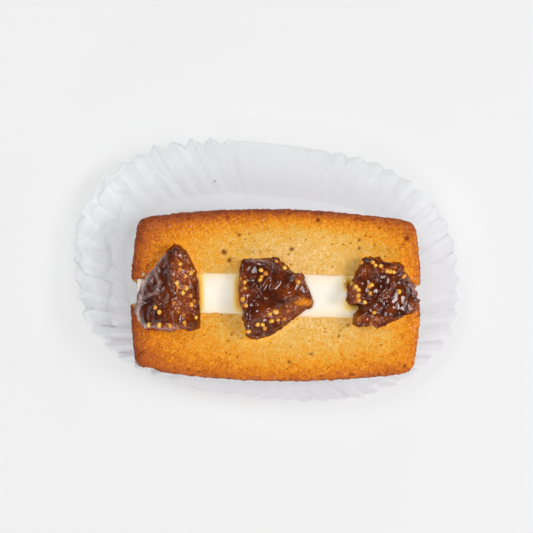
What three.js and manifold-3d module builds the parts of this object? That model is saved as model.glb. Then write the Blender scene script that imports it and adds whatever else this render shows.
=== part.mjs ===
// A small almond cake in a fluted paper case. A channel along its top is filled flush with white
// cream, and three glazed pieces of fig lie across the channel.
// Millimetres, +Z up, X along the cake. The origin is on the underside of the paper, below the
// middle of the cake.

import * as THREE from "three";
import { mergeVertices } from "three/addons/utils/BufferGeometryUtils.js";
import Module from "manifold-3d";

const wasm = await Module();
wasm.setup();

// Left free between pieces that touch
const GAP = 0.3;

// Half sizes are measured from each oval's centre. Squareness 2 is an ellipse, more is boxier.
const CASE = {
  thickness: 0.35,
  wall: 18.5, // slant length from the fold to the rim, the same all round
  sag: 0.7,
  flutes: 56,
  samplesPerFlute: 4,
  rimSamples: 2000, // for measuring lengths along the rim
  wallShares: [0, 0.35, 0.7, 1], // where the wall has vertices, from the fold to the rim
  stretch: 0.052, // share by which the case is pulled out towards two opposite corners
  stretchAngle: THREE.MathUtils.degToRad(135),
  fluteHeight: { straight: 0.25, corner: 1.3 },
  fluteGrowth: 0.6, // power of the wall's share with which a flute grows, less starts it lower down
  fold: { centre: [-1.8, 2], half: [43, 27.8], squareness: 3 },
  rim: { centre: [-2.7, 7.5], half: [56.2, 37.5], squareness: 2.5 },
};

const CAKE = {
  length: 85.8,
  width: 51.2,
  height: 20,
  base: CASE.thickness + GAP,
  edgeRadius: 3.4,
  baseInset: 4.5, // each side leans in by this much on the way down
  shoulder: 0.83, // share of the height at which the cake is widest
  sideBow: 0.125, // share of the half width that the long sides lose at the ends
  endBow: 0.05,
  crown: 0.7,
  crownStart: 0.4, // share of the height from which the cake swells up to its crown
  turn: THREE.MathUtils.degToRad(-0.9),
  grid: [24, 14, 6], // faces along X, Y and Z
};

const CHANNEL = {
  widthInside: 12.2,
  widthAtEnds: 7.2,
  depth: 9.5,
  floorShare: 0.6, // width of the floor as a share of the width at the top
  wallRise: 0.625, // share of the height at which the walls stand at the full width
  wallBow: 0.6, // 1 is a straight wall, less bulges outwards
  narrowing: 4, // power of the share along the cake with which the channel narrows
  standsUp: 3, // how far the cutting bar stands up out of the cake
  overrun: 3, // how far it runs out past each end of the cake
  grid: [20, 4, 6],
  creamSetback: 3.2, // from each end of the cake
};

// A crumb of crust that sticks out beside one end of the channel
const NUB = { at: [-41.1, -4.9, 16.4], half: [1.7, 1.3, 2.0] };

// A fig piece is one or two lobes. A lobe is a block cut by flat facets with softened edges. Each
// facet is [azimuth, elevation, distance], in degrees and millimetres, seen from the lobe's centre.
// A seed row is [x, y, x, y, count], in plan from the origin of its piece.
const FIG_EDGE_SHARPNESS = 16;
const FIG_CENTRE_HEIGHT = 3; // of the middle of a lobe above the top of the cake
const FIG_UNDERSIDE = [0, -90, 3.6];
const FIG_HEIGHT_LIMIT = 15; // above the middle of a lobe, more than any lobe has
const FIG_TOP_HALVINGS = 30; // of that height, when a point on the skin is looked for
const LOBE_DETAIL = 5;
const SEED_RADIUS = 0.75;
const SEED_SUNK = 0.15; // how deep the middle of a seed lies under the skin
// A row's seeds stray to both sides and turn by a fixed angle from one to the next
const SEED_STRAY = 0.35;
const SEED_STRAY_ANGLE = 2.4;
const SEED_TURN = 1.7;

const FIGS = {
  fig_left: {
    at: [-31.3, 1.5],
    lobes: [
      {
        at: [0, 0],
        facets: [
          [165, 57, 4], [12, 46, 5.4], [176, 47, 4.7], [154, 47, 4.4], [172, 8, 8.5], [158, 8, 7.7],
          [141, 12, 7], [211, 5, 11.8], [270, 3, 11.5], [0, 3, 9.1], [17, 4, 9.1], [38, 4, 10.9],
          [84, 5, 13.5], FIG_UNDERSIDE,
        ],
      },
    ],
    seedRows: [
      [3.8, 7.8, 3.6, 6.1, 2], [5.4, 4.3, 6.3, 4.7, 2], [2.5, 1.9, 3.4, 1.4, 2], [5.4, 1.2, 4.7, -0.5, 3],
      [6.5, -1.6, 6.7, -4.3, 2], [-3.6, -5.1, -1.9, -5.9, 2], [-5.6, -10.2, 4.6, -9.6, 4],
      [7.8, -8.2, 8, -7, 1],
    ],
  },
  fig_middle: {
    at: [-1.5, -0.5],
    lobes: [
      {
        at: [0, 0],
        facets: [
          [72, 77, 4.1], [-60, 48, 5.3], [-54, 6, 8.9], [188, 4, 8.7], [175, 4, 9.45], [92, 5, 11.4],
          [56, 8, 9.7], [21, 5, 11], [250, 4, 13.3], [-82, 4, 11.4], FIG_UNDERSIDE,
        ],
      },
    ],
    seedRows: [
      [-2.6, 8.0, -1.4, 6.9, 2], [-2.4, 6.2, -3, 5, 2], [1.3, 10, 4.2, 8.6, 2], [7.6, 4.1, 8, 2, 1],
      [-8, 5.6, -7.5, 2.6, 3], [-7.7, -0.2, -7.4, -2.6, 2], [-0.2, -4.6, 2.0, -3.9, 3],
      [-4.1, -8.1, 4.2, -6.0, 5], [-1.4, -8.6, -0.2, -7.2, 2], [-6.4, -9.8, -6, -8, 1],
    ],
  },
  fig_right: {
    at: [31, 1],
    lobes: [
      {
        at: [-1.6, 2.6],
        facets: [
          [100, 76, 4.3], [-35, 70, 4.9], [78, 5, 6.8], [180, 4, 8.4], [155, 4, 6.6],
          [22, 6, 8.8], [255, 6, 8], [-40, 18, 8.4], FIG_UNDERSIDE,
        ],
      },
      {
        at: [2.2, -4.2],
        facets: [
          [-70, 62, 4.2], [10, 72, 4.3], [-90, 4, 5.6], [-64, 5, 4.4], [20, 5, 8.1],
          [180, 6, 10.4], [139, 13, 6], [90, 12, 8.2], FIG_UNDERSIDE,
        ],
      },
    ],
    seedRows: [
      [-3.0, 8.6, -1.1, 7.2, 3], [0.8, 5.8, 3.2, 6.0, 3], [6.0, 4.6, 6.2, 5.6, 2],
      [-8.6, 2.6, -7.0, -0.6, 4], [-7.0, -2.1, -5.8, -3.2, 2], [-4.5, 1.4, -3.2, 2.4, 2],
      [-4.2, -0.6, -4, 0, 1], [4.9, 0.5, 5, 0, 1], [-2.5, -5.6, -2, -6, 1], [-6.2, 8.4, -5, 9, 1],
    ],
  },
};

const MATERIALS = {
  paper: { color: 0xeff0f2, roughness: 0.6, metalness: 0 },
  cake: { color: 0xd9983e, roughness: 0.9, metalness: 0 },
  cream: { color: 0xf2ebd9, roughness: 0.45, metalness: 0 },
  fig: { color: 0x5a2c1c, roughness: 0.25, metalness: 0 },
};

// Moves every vertex of a geometry to the place that a function gives for it
function reshape(geometry, place) {
  const position = geometry.attributes.position;
  const uv = geometry.attributes.uv;
  for (let i = 0; i < position.count; i += 1) {
    const from = new THREE.Vector3().fromBufferAttribute(position, i);
    const to = place(from, uv.getX(i), uv.getY(i));
    position.setXYZ(i, to.x, to.y, to.z);
  }
  return geometry;
}

// Closed solid from a geometry, without the flat triangles at its poles
function solidFrom(geometry) {
  geometry.deleteAttribute("normal");
  geometry.deleteAttribute("uv");
  const welded = mergeVertices(geometry, 1e-4);
  const corners = welded.index.array;
  const kept = [];
  for (let i = 0; i < corners.length; i += 3) {
    const [a, b, c] = corners.subarray(i, i + 3);
    if (a !== b && b !== c && c !== a) {
      kept.push(a, b, c);
    }
  }
  const mesh = new wasm.Mesh({
    numProp: 3,
    vertProperties: new Float32Array(welded.attributes.position.array),
    triVerts: new Uint32Array(kept),
  });
  return new wasm.Manifold(mesh);
}

function meshFrom(name, solid, material) {
  const { vertProperties, triVerts } = solid.getMesh();
  const geometry = new THREE.BufferGeometry();
  geometry.setAttribute("position", new THREE.BufferAttribute(new Float32Array(vertProperties), 3));
  geometry.setIndex(new THREE.BufferAttribute(new Uint32Array(triVerts), 1));
  geometry.computeVertexNormals();
  const mesh = new THREE.Mesh(geometry, new THREE.MeshStandardMaterial(material));
  mesh.name = name;
  return mesh;
}

// A cube whose grid lines gather towards its edges, where the rounding needs them
function edgeGatheredCube(nx, ny, nz) {
  const gather = (value) => Math.sin((value * Math.PI) / 2);
  const cube = new THREE.BoxGeometry(2, 2, 2, nx, ny, nz);
  return reshape(cube, (p) => new THREE.Vector3(gather(p.x), gather(p.y), gather(p.z)));
}

// Point of one of the case's ovals in plan, at a polar angle from its centre
function ovalPoint({ centre, half, squareness }, angle) {
  const stretch = 1 + CASE.stretch * Math.cos(2 * (angle - CASE.stretchAngle));
  const alongX = Math.abs(Math.cos(angle)) / half[0];
  const alongY = Math.abs(Math.sin(angle)) / half[1];
  const reach = stretch * (alongX ** squareness + alongY ** squareness) ** (-1 / squareness);
  const offset = new THREE.Vector2(Math.cos(angle), Math.sin(angle)).multiplyScalar(reach);
  return offset.add(new THREE.Vector2(...centre));
}

class RimCurve extends THREE.Curve {
  getPoint(t, target = new THREE.Vector2()) {
    return target.copy(ovalPoint(CASE.rim, 2 * Math.PI * t));
  }
}

// The way that a flute stands off the wall, in the wall's section
const IN_AND_UP = new THREE.Vector2(-1, 1).normalize();

// Flutes are deep where the oval turns and shallow along its four straighter stretches
function fluteOffset(turnShare, angle) {
  const { straight, corner } = CASE.fluteHeight;
  const height = THREE.MathUtils.lerp(straight, corner, Math.sin(2 * angle) ** 2);
  const phase = (turnShare * CASE.flutes) % 1;
  return height * (4 * Math.abs(phase - 0.5) - 1);
}

function makeCase() {
  const rimCurve = new RimCurve();
  rimCurve.arcLengthDivisions = CASE.rimSamples;
  // The first station has no share of the wall: it is the middle of the floor
  const underside = [null, ...CASE.wallShares];
  const stations = [
    ...underside.map((share) => ({ share, side: -1 })),
    ...underside.reverse().map((share) => ({ share, side: 1 })),
  ];
  const halfThickness = CASE.thickness / 2;

  function place(turnShare, { share, side }) {
    if (share === null) {
      return new THREE.Vector3(...CASE.fold.centre, halfThickness * (1 + side));
    }
    const t = rimCurve.getUtoTmapping(turnShare % 1);
    const angle = 2 * Math.PI * t;
    const fold = ovalPoint(CASE.fold, angle);
    const outward = rimCurve.getPoint(t).sub(fold);
    const plan = outward.length();
    outward.normalize();
    const rise = Math.sqrt(CASE.wall ** 2 - plan ** 2);
    // The wall's section: x runs outwards from the fold, y runs up
    const normal = share > 0 ? new THREE.Vector2(-rise, plan).normalize() : new THREE.Vector2(0, 1);
    const section = new THREE.Vector2(plan, rise).multiplyScalar(share);
    section.addScaledVector(normal, side * halfThickness - CASE.sag * Math.sin(Math.PI * share));
    section.addScaledVector(IN_AND_UP, share ** CASE.fluteGrowth * fluteOffset(turnShare, angle));
    outward.multiplyScalar(section.x);
    return new THREE.Vector3(fold.x + outward.x, fold.y + outward.y, halfThickness + section.y);
  }

  const profile = stations.map((_, i) => new THREE.Vector2(1, i));
  const lathe = new THREE.LatheGeometry(profile, CASE.flutes * CASE.samplesPerFlute);
  const last = stations.length - 1;
  return solidFrom(reshape(lathe, (_, u, v) => place(u, stations[Math.round(v * last)])));
}

// The whole cake before its channel is cut, grown outwards by a clearance
function makeCakeBlock(grow = 0) {
  const half = new THREE.Vector3(CAKE.length, CAKE.width, CAKE.height).divideScalar(2);
  const core = half.clone().subScalar(CAKE.edgeRadius);
  const minusCore = core.clone().negate();

  function place(corner) {
    const flat = corner.multiply(half);
    const inner = flat.clone().clamp(minusCore, core);
    const p = inner.clone().add(flat.sub(inner).setLength(CAKE.edgeRadius + grow));
    const along = THREE.MathUtils.clamp(p.x / half.x, -1, 1);
    const across = THREE.MathUtils.clamp(p.y / half.y, -1, 1);
    const up = p.z / CAKE.height + 0.5;
    const inset = CAKE.baseInset * Math.max(0, 1 - up / CAKE.shoulder);
    const rising = THREE.MathUtils.smoothstep(up, CAKE.crownStart, 1);
    const crown = CAKE.crown * (1 - along ** 2) * (1 - across ** 2) * rising;
    return new THREE.Vector3(
      p.x * (1 - CAKE.endBow * across ** 2) * (1 - inset / half.x),
      p.y * (1 - CAKE.sideBow * along ** 2) * (1 - inset / half.y),
      p.z + half.z + CAKE.base + crown,
    );
  }

  return solidFrom(reshape(edgeGatheredCube(...CAKE.grid), place).rotateZ(CAKE.turn));
}

// The channel as a solid bar that stands up out of the cake. An inset leaves the clearance of the
// cream on both sides and under it.
function makeChannel(halfLength, inset = 0) {
  const floor = CAKE.base + CAKE.height - CHANNEL.depth + inset;
  const top = CAKE.base + CAKE.height + CHANNEL.standsUp;

  function place(corner) {
    const x = corner.x * halfLength;
    const along = Math.min(1, Math.abs(x) / (CAKE.length / 2));
    const narrowed = along ** CHANNEL.narrowing;
    const width = THREE.MathUtils.lerp(CHANNEL.widthInside, CHANNEL.widthAtEnds, narrowed);
    const up = (corner.z + 1) / 2;
    const rising = Math.min(1, up / CHANNEL.wallRise) ** CHANNEL.wallBow;
    const spread = THREE.MathUtils.lerp(CHANNEL.floorShare, 1, rising);
    const y = corner.y * (width / 2 - inset) * spread;
    return new THREE.Vector3(x, y, THREE.MathUtils.lerp(floor, top, up));
  }

  const bar = new THREE.BoxGeometry(2, 2, 2, ...CHANNEL.grid);
  return solidFrom(reshape(bar, place).rotateZ(CAKE.turn));
}

function makeNub() {
  const ball = new THREE.IcosahedronGeometry(1, 2);
  ball.scale(...NUB.half);
  ball.translate(...NUB.at);
  return solidFrom(ball);
}

function makeCake() {
  const beyondEnds = CAKE.length / 2 + CHANNEL.overrun;
  return makeCakeBlock().add(makeNub()).subtract(makeChannel(beyondEnds));
}

function makeCream() {
  const halfLength = CAKE.length / 2 - CHANNEL.creamSetback;
  return makeChannel(halfLength, GAP).intersect(makeCakeBlock());
}

function facetNormal([azimuth, elevation]) {
  const polar = THREE.MathUtils.degToRad(90 - elevation);
  const around = THREE.MathUtils.degToRad(azimuth);
  return new THREE.Vector3(
    Math.sin(polar) * Math.cos(around),
    Math.sin(polar) * Math.sin(around),
    Math.cos(polar),
  );
}

// 1 on the softened surface of a lobe, less inside it. It grows in proportion to the distance from
// the lobe's centre.
function lobeGauge(lobe, offset) {
  let sum = 0;
  for (const facet of lobe.facets) {
    const share = facetNormal(facet).dot(offset) / facet[2];
    sum += Math.max(0, share) ** FIG_EDGE_SHARPNESS;
  }
  return sum ** (1 / FIG_EDGE_SHARPNESS);
}

function lobeCentre(fig, lobe) {
  const z = CAKE.base + CAKE.height + CAKE.crown + FIG_CENTRE_HEIGHT;
  return new THREE.Vector3(fig.at[0] + lobe.at[0], fig.at[1] + lobe.at[1], z);
}

function makeLobe(fig, lobe) {
  const ball = new THREE.IcosahedronGeometry(1, LOBE_DETAIL);
  reshape(ball, (direction) => direction.divideScalar(lobeGauge(lobe, direction)));
  ball.translate(...lobeCentre(fig, lobe));
  return solidFrom(ball);
}

// Height of a fig's upper surface over a point in plan, by halving the interval
function figTop(fig, x, y) {
  const heights = fig.lobes.map((lobe) => {
    const centre = lobeCentre(fig, lobe);
    const offset = new THREE.Vector3(fig.at[0] + x - centre.x, fig.at[1] + y - centre.y, 0);
    let low = 0;
    let high = FIG_HEIGHT_LIMIT;
    for (let step = 0; step < FIG_TOP_HALVINGS; step += 1) {
      offset.z = (low + high) / 2;
      if (lobeGauge(lobe, offset) < 1) {
        low = offset.z;
      } else {
        high = offset.z;
      }
    }
    return centre.z + low;
  });
  return Math.max(...heights);
}

function makeSeeds(fig) {
  const seeds = [];
  for (const [x0, y0, x1, y1, count] of fig.seedRows) {
    for (let i = 0; i < count; i += 1) {
      const share = count > 1 ? i / (count - 1) : 0;
      const stray = SEED_STRAY * Math.sin(SEED_STRAY_ANGLE * i + x0);
      const x = THREE.MathUtils.lerp(x0, x1, share) + stray;
      const y = THREE.MathUtils.lerp(y0, y1, share) + stray;
      const seed = new THREE.OctahedronGeometry(SEED_RADIUS, 1);
      seed.rotateZ(SEED_TURN * i);
      seed.translate(fig.at[0] + x, fig.at[1] + y, figTop(fig, x, y) - SEED_SUNK);
      seeds.push(solidFrom(seed));
    }
  }
  return seeds;
}

function makeFig(fig, clearance) {
  const pieces = [...fig.lobes.map((lobe) => makeLobe(fig, lobe)), ...makeSeeds(fig)];
  return wasm.Manifold.union(pieces).subtract(clearance);
}

const part = new THREE.Group();
part.name = "financier";
part.add(meshFrom("paper_case", makeCase(), MATERIALS.paper));
part.add(meshFrom("cake", makeCake(), MATERIALS.cake));
part.add(meshFrom("cream", makeCream(), MATERIALS.cream));
const clearance = makeCakeBlock(GAP);
for (const [name, fig] of Object.entries(FIGS)) {
  part.add(meshFrom(name, makeFig(fig, clearance), MATERIALS.fig));
}

export default part;
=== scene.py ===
"""The looks of a small almond cake in a fluted paper case, with cream and three glazed figs.

The cake and the cream are made from the frame's solids, and the paper and the figs from the same sizes.
Each keeps its form and adds what shows on the real thing: crumb, folds, wrinkles, seeds and syrup.
Lengths are millimetres and angles are degrees, unless a comment says otherwise. Layers of noise are
lists of height, size and seed, and those of creases and wrinkles have a sharpness as well.
"""

import math
import random

import bmesh
import bpy
import numpy as np
from mathutils import Matrix, Vector, noise
from mathutils.bvhtree import BVHTree


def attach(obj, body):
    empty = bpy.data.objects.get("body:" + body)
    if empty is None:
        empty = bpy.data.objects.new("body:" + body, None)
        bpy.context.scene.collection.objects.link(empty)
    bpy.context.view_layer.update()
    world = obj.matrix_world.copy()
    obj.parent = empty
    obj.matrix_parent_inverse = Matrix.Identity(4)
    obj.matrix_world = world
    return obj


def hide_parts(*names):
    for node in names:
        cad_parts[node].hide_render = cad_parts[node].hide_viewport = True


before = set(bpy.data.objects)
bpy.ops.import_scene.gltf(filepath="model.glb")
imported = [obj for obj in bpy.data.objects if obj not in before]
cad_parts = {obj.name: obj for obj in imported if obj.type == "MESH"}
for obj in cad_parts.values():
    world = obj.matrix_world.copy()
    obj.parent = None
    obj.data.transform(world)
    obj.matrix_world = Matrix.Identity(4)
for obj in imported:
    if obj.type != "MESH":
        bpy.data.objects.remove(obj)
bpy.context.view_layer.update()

MM = 0.001  # metres
DOWN = Vector((0, 0, -1))
ABOVE_ALL = 60  # a height over every piece
NOISE_SHIFT = 31.7  # how far noise moves from one seed to the next
RANDOM_SEEDS = {"pits": 7, "fig_seeds": 3}

# The camera looks straight down on the cake
CAMERA_AT = (-2.7, 8.4, 600)
SENSOR = 36
LENS = 134.1

# Softboxes round the cake: name, azimuth, elevation, width, power in watts. The fill overhead is
# screened so that it doesn't gleam on the glaze.
SOFTBOX_DISTANCE = 1500
FILL = ("fill", 0, 88, 1400, 6.6)
SOFTBOXES = [
    ("key", 5, 52, 520, 8.6), ("back", 138, 68, 480, 4.6), ("left", 195, 58, 420, 1.2),
    ("front", 285, 56, 400, 4.8), ("low_west", 165, 8, 320, 1), ("low_north", 72, 18, 420, 2.6),
    ("low_east", 0, 14, 420, 4.6), ("low_front", 275, 14, 420, 4.6),
]
# How bright the tent's walls and its opening overhead are, and how far up, from 0 to 1, they meet
TENT_WALLS = 0.16
TENT_OPENING = 0.04
TENT_FADE = (0.75, 0.97)
# The floor is grey and also glows, so that it shows white. Under the case its glow is dimmer to the west
# and brighter to the east: painted shade and painted light on the case, seen through its paper.
FLOOR_HALF = 3000
FLOOR_Z = -0.1
FLOOR_TONE = (140, 140, 140)
FLOOR_GLOW = 0.55
FLOOR_GLOW_UNDER = (0.38, 0.64)  # below the case's west and east ends
FLOOR_GLOW_FADE = (0.75, 1.1)  # where the two glows meet, with 1 at the rim of the case

# Width of the even faces that a form is given, and how often they are softened
CAKE_FACES = (0.42, 6)
CREAM_FACES = (0.35, 5)
FIG_FACES = (0.22, 4)
LOBE_SUBDIVISIONS = 5
BALL_SUBDIVISIONS = 3

# The cake's main sizes, as in the frame
CAKE = {
    "half_length": 42.9, "half_width": 25.6, "base": 0.65, "height": 20, "crown": 0.7,
    "side_bow": 0.125, "end_bow": 0.05,
}
CAKE_TOP = CAKE["base"] + CAKE["height"]
# Where the near side of the channel swells into the cream: x, y, how far, and its reach in x and y
CHANNEL_SWELL = (-17, -6, 0.7, 12, 2.5)
CHANNEL_LEAN = 0.3  # how far the channel's walls lean in over the cream

# How the crust browns from each side: strength at the rim, and how far it reaches inwards
CRUST = {"north": (1.25, 3.7), "south": (0.78, 7), "east": (0.64, 7.5), "west": (1.1, 6)}
WEST_FADE = 0.2  # share that the west side's browning loses towards the south
# Along the cake, where its top is palest, and how it browns from there: how far off, and how much
PALE_AT = 9
PALE_TO_WEST = (44, 0.25)
PALE_TO_EAST = (30, 0.09)
SIDE_BROWNING = 0.9
SIDE_PATCHES = [(0.1, 6, 5)]
CHANNEL_BROWNING = 0.1
CRUST_TONES = [
    (-0.2, (240, 206, 146)), (0, (227, 183, 108)), (0.1, (223, 174, 85)), (0.2, (220, 162, 58)),
    (0.3, (226, 151, 32)), (0.4, (225, 138, 12)), (0.5, (214, 122, 9)), (0.6, (197, 106, 12)),
    (0.72, (181, 91, 26)), (0.86, (158, 75, 32)), (1, (134, 60, 28)),
]
# The crumb's relief all over and at its edges, its shades, and the small holes in its crust
CRUMB_RELIEF = [(0.1, 1.9, 11), (0.12, 0.8, 12), (0.12, 4.5, 13)]
EDGE_RELIEF = [(0.16, 1.9, 11), (0.16, 0.8, 12)]
CRUMB_SHADES = [(0.06, 1.9, 11), (0.14, 0.8, 12)]
CRUMB_HOLES = [(1, 1.15, 14)]
HOLE_DEPTH = 0.3
HOLE_SHADE = 0.7
# Larger pits in the top: x, y, radius, depth
PITS = [
    (38.2, 16.7, 0.9, 0.5), (-15.1, 12.6, 0.75, 0.5), (-13.6, 10.3, 0.7, 0.2), (-10.7, 17.6, 0.45, 0.3),
    (12.3, 22, 0.7, 0.5), (4.7, 13.5, 0.6, 0.4), (3.6, 12, 0.35, 0.4), (24.3, 16.1, 0.4, 0.4),
    (24.3, 13.8, 0.4, 0.4), (10.3, -17.1, 0.45, 0.4), (3.9, -19.4, 0.55, 0.4), (18.4, -11.9, 0.4, 0.4),
    (-19.8, -5.9, 0.4, 0.4), (-15.8, -6.1, 0.35, 0.4), (21.1, -8.6, 0.4, 0.4), (30.2, 19.6, 0.4, 0.4),
    (37.7, -20.7, 0.5, 0.5),
]
# Fine pits, drawn at random over the top. Depths are shares of a pit's radius.
FINE_PITS = {"count": 45, "half_x": 41, "half_y": 24, "radii": (0.16, 0.32), "depths": (0.3, 0.7)}
PIT_RAGGEDNESS = [(0.6, 0.6, 8)]
PIT_REACH = 3  # radii from its middle beyond which a pit has no depth
# Chips out of the cake's edge: x, y, depth, radius
CHIPS = [(-37.4, -22.8, 1, 2.4)]

# The wall is a slanting length. Flutes and crumples have some height between their stretches too, and
# crumples have their full height from a share of the wall upwards.
PAPER = {
    "thickness": 0.12, "wall": 18.5, "wall_rows": 36, "sag": 0.7, "stretch": 0.052, "stretch_angle": 135,
    "flutes": 56, "samples_per_flute": 14, "flute_sharpness": 0.97, "flute_growth": 0.6,
    "flute_between": 0.08, "crumple_between": 0.15, "full_crumple": 0.35,
}
FOLD = {"centre": (-1.8, 2), "half": (43, 27.8), "squareness": 3}
RIM = {"centre": (-2.7, 7.5), "half": (56.2, 37.5), "squareness": 2.5}
RIM_SAMPLES = 4001
FLOOR_ROWS = [-0.7, -0.4, -0.2, -0.08, -0.02]  # from -1 in the middle of the floor to 0 at the fold
FLUTE_UNEVENNESS = [(0.5, 0.13, 6)]  # a share of their height, sized for a rim of radius 1
# Where the flutes stand out: angle, half width of the stretch, height
FLUTED_STRETCHES = [
    (124, 19, 2.1), (168, 22, 0.6), (208, 20, 1.5), (52, 12, 0.9), (8, 30, 0.8), (-42, 32, 1),
    (-95, 22, 0.4),
]
# Where the paper has been crumpled by hand: angle, half width, strength
CRUMPLED_STRETCHES = [(172, 28, 1), (25, 45, 0.3)]
PAPER_WAVES = [(0.35, 13, 1), (0.21, 6, 2)]
PAPER_CREASES = [(0.9, 10, 3, 7), (0.6, 5, 4, 7)]
PAPER_DIMPLES = [(0.3, 2.2, 5)]
LIGHT_THROUGH_PAPER = 0.88  # share

# A fig is one or two lobes. A lobe is a block cut by flat facets with softened edges, each given by
# azimuth, elevation and distance from the lobe's centre. Ragged is how far the sides are torn. Seed rows
# are ends and a count. Knobs are small lumps: place, height over the cake and radius. Folds of the skin
# are ends, height and half width, and pale lines on it, partly sugar bloom and partly painted sheen, are
# ends, strength and half width. Dents are bays in the torn sides: place, depth and radius. Cut flesh, thin
# skin painted red for the light that shines through it, and thin amber edges painted bright for the same
# light are ovals: centre and half sizes. Places are seen from the fig's own.
FIG_EDGE_SHARPNESS = 24
FIG_CENTRE_Z = CAKE_TOP + CAKE["crown"] + 3
FIG_CLEARANCE = 0.08  # from the smooth top of the cake
UNDERSIDE = (0, -90, 3.6)
FIG_LEFT = {
    "at": (-31.3, 1.5), "ragged": 0.6,
    "lobes": [{"at": (0, 0), "facets": [
        (165, 57, 4), (12, 46, 5.4), (176, 47, 4.7), (154, 47, 4.4), (172, 8, 8.5), (158, 8, 7.7),
        (141, 12, 7), (211, 5, 11.8), (270, 3, 11.5), (0, 3, 9.1), (17, 4, 9.1), (38, 4, 10.9),
        (84, 5, 13.5), UNDERSIDE,
    ]}],
    "seed_rows": [
        (3.8, 7.8, 3.6, 6.1, 2), (5.4, 4.3, 6.3, 4.7, 2), (2.5, 1.9, 3.4, 1.4, 2),
        (5.4, 1.2, 4.7, -0.5, 3), (6.5, -1.6, 6.7, -4.3, 2), (-3.6, -5.1, -1.9, -5.9, 2),
        (-5.6, -10.2, 4.6, -9.6, 4), (7.8, -8.2, 8, -7, 1),
    ],
    "knobs": [],
    "folds": [
        (0.1, 11.2, 1.4, 3.2, 0.5, 0.7), (1.4, 3.2, 4.8, -8.1, 0.5, 0.8),
        (-3.9, 6.8, -2.8, 3.2, 0.4, 0.5), (-2.1, 2.4, -3.4, -0.8, 0.45, 0.5),
        (-6.8, -2.3, -3.9, -0.8, 0.45, 0.5), (-6.1, 1, -4.6, -1.9, 0.35, 0.4),
        (-1.6, 9.4, -5.2, 5.4, 0.4, 0.6), (-0.6, -1.5, -2.4, -4.6, -0.4, 0.7),
    ],
    "dents": [(-8.4, -3, 0.6, 1.4), (3.5, -11.6, 0.7, 1.2), (-5, 7, 0.5, 1.2)],
    "flesh": [(4.4, 3.8, 3.4, 6.5), (5.2, -3.4, 3.4, 5.4), (0, -10.4, 7, 0.9)],
    "glow": [(1.2, -5.2, 2.8, 4.6)], "amber": [],
    "bloom": [
        (-1.2, 10.4, -5, 6.4, 1.1, 0.8), (-5, 6.4, -7.4, 1.6, 1.1, 0.8),
        (-7.4, 1.6, -8.4, -3, 1, 0.7), (-8.6, -3.6, -8.9, -8.6, 1.1, 0.7),
        (-8.9, -8.6, -6.6, -10.6, 0.9, 0.6), (-6.6, -10.6, 3, -11, 0.7, 0.5),
        (-3.9, 6.8, -2.8, 3.2, 0.5, 0.4), (-2.1, 2.4, -3.4, -0.8, 0.5, 0.4),
        (-6.8, -2.3, -3.9, -0.8, 0.5, 0.4),
    ],
}
FIG_MIDDLE = {
    "at": (-1.5, -0.5), "ragged": 0.6,
    "lobes": [{"at": (0, 0), "facets": [
        (72, 77, 4.1), (-60, 48, 5.3), (-54, 6, 8.9), (188, 4, 8.7), (175, 4, 9.45), (92, 5, 11.4),
        (56, 8, 9.7), (21, 5, 11), (250, 4, 13.3), (-82, 4, 11.4), UNDERSIDE,
    ]}],
    "seed_rows": [
        (-2.6, 8, -1.4, 6.9, 2), (-2.4, 6.2, -3, 5, 2), (1.3, 10, 4.2, 8.6, 2), (7.6, 4.1, 8, 2, 1),
        (-8, 5.6, -7.5, 2.6, 3), (-7.7, -0.2, -7.4, -2.6, 2), (-0.2, -4.6, 2, -3.9, 3),
        (-4.1, -8.1, 4.2, -6, 5), (-1.4, -8.6, -0.2, -7.2, 2), (-6.4, -9.8, -6, -8, 1),
    ],
    "knobs": [(8.2, 5.3, 2.8, 1.9), (10.2, -0.8, 2.4, 1.2), (1.1, 10.6, 2.6, 1.4)],
    "folds": [
        (-4.9, 10.4, -0.9, 9.6, 0.5, 0.6), (-0.9, 9.6, 6.4, 6.4, 0.5, 0.6),
        (-0.9, 5.9, -3.6, 0.6, 0.5, 0.5), (-5.6, 5.5, -4, 0.6, 0.4, 0.5),
        (0.6, 8.1, -0.9, 4.8, 0.4, 0.5), (6, 5.5, 4.6, 3.4, 0.4, 0.5), (2, 4.4, 0.6, 3, 0.4, 0.5),
        (2.7, -1.7, 7.1, -0.3, 0.5, 0.6), (-5.3, -1, -4.2, -1.9, 0.4, 0.4),
        (0.9, -9, 6.4, -5.9, 0.5, 0.5), (-5.6, -8.6, -3.4, -9.6, 0.4, 0.5),
    ],
    "dents": [(-3.4, 11.6, 0.9, 2), (6.4, 7.6, 0.9, 1.3), (-8.2, -4.6, 0.5, 1.2)],
    "flesh": [
        (2, -5.2, 4.4, 2.2), (6.6, -3.4, 2.8, 1.8), (9.4, -1.2, 2.2, 2), (-8, 2, 1.3, 5.4),
        (8.6, 5, 1.6, 1.8),
    ],
    "glow": [(5.8, 1.4, 2.8, 2)], "amber": [(9.6, -1.5, 2.4, 0.9)],
    "bloom": [(-7, 10.6, -1, 10.4, 0.4, 0.5)],
}
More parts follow.
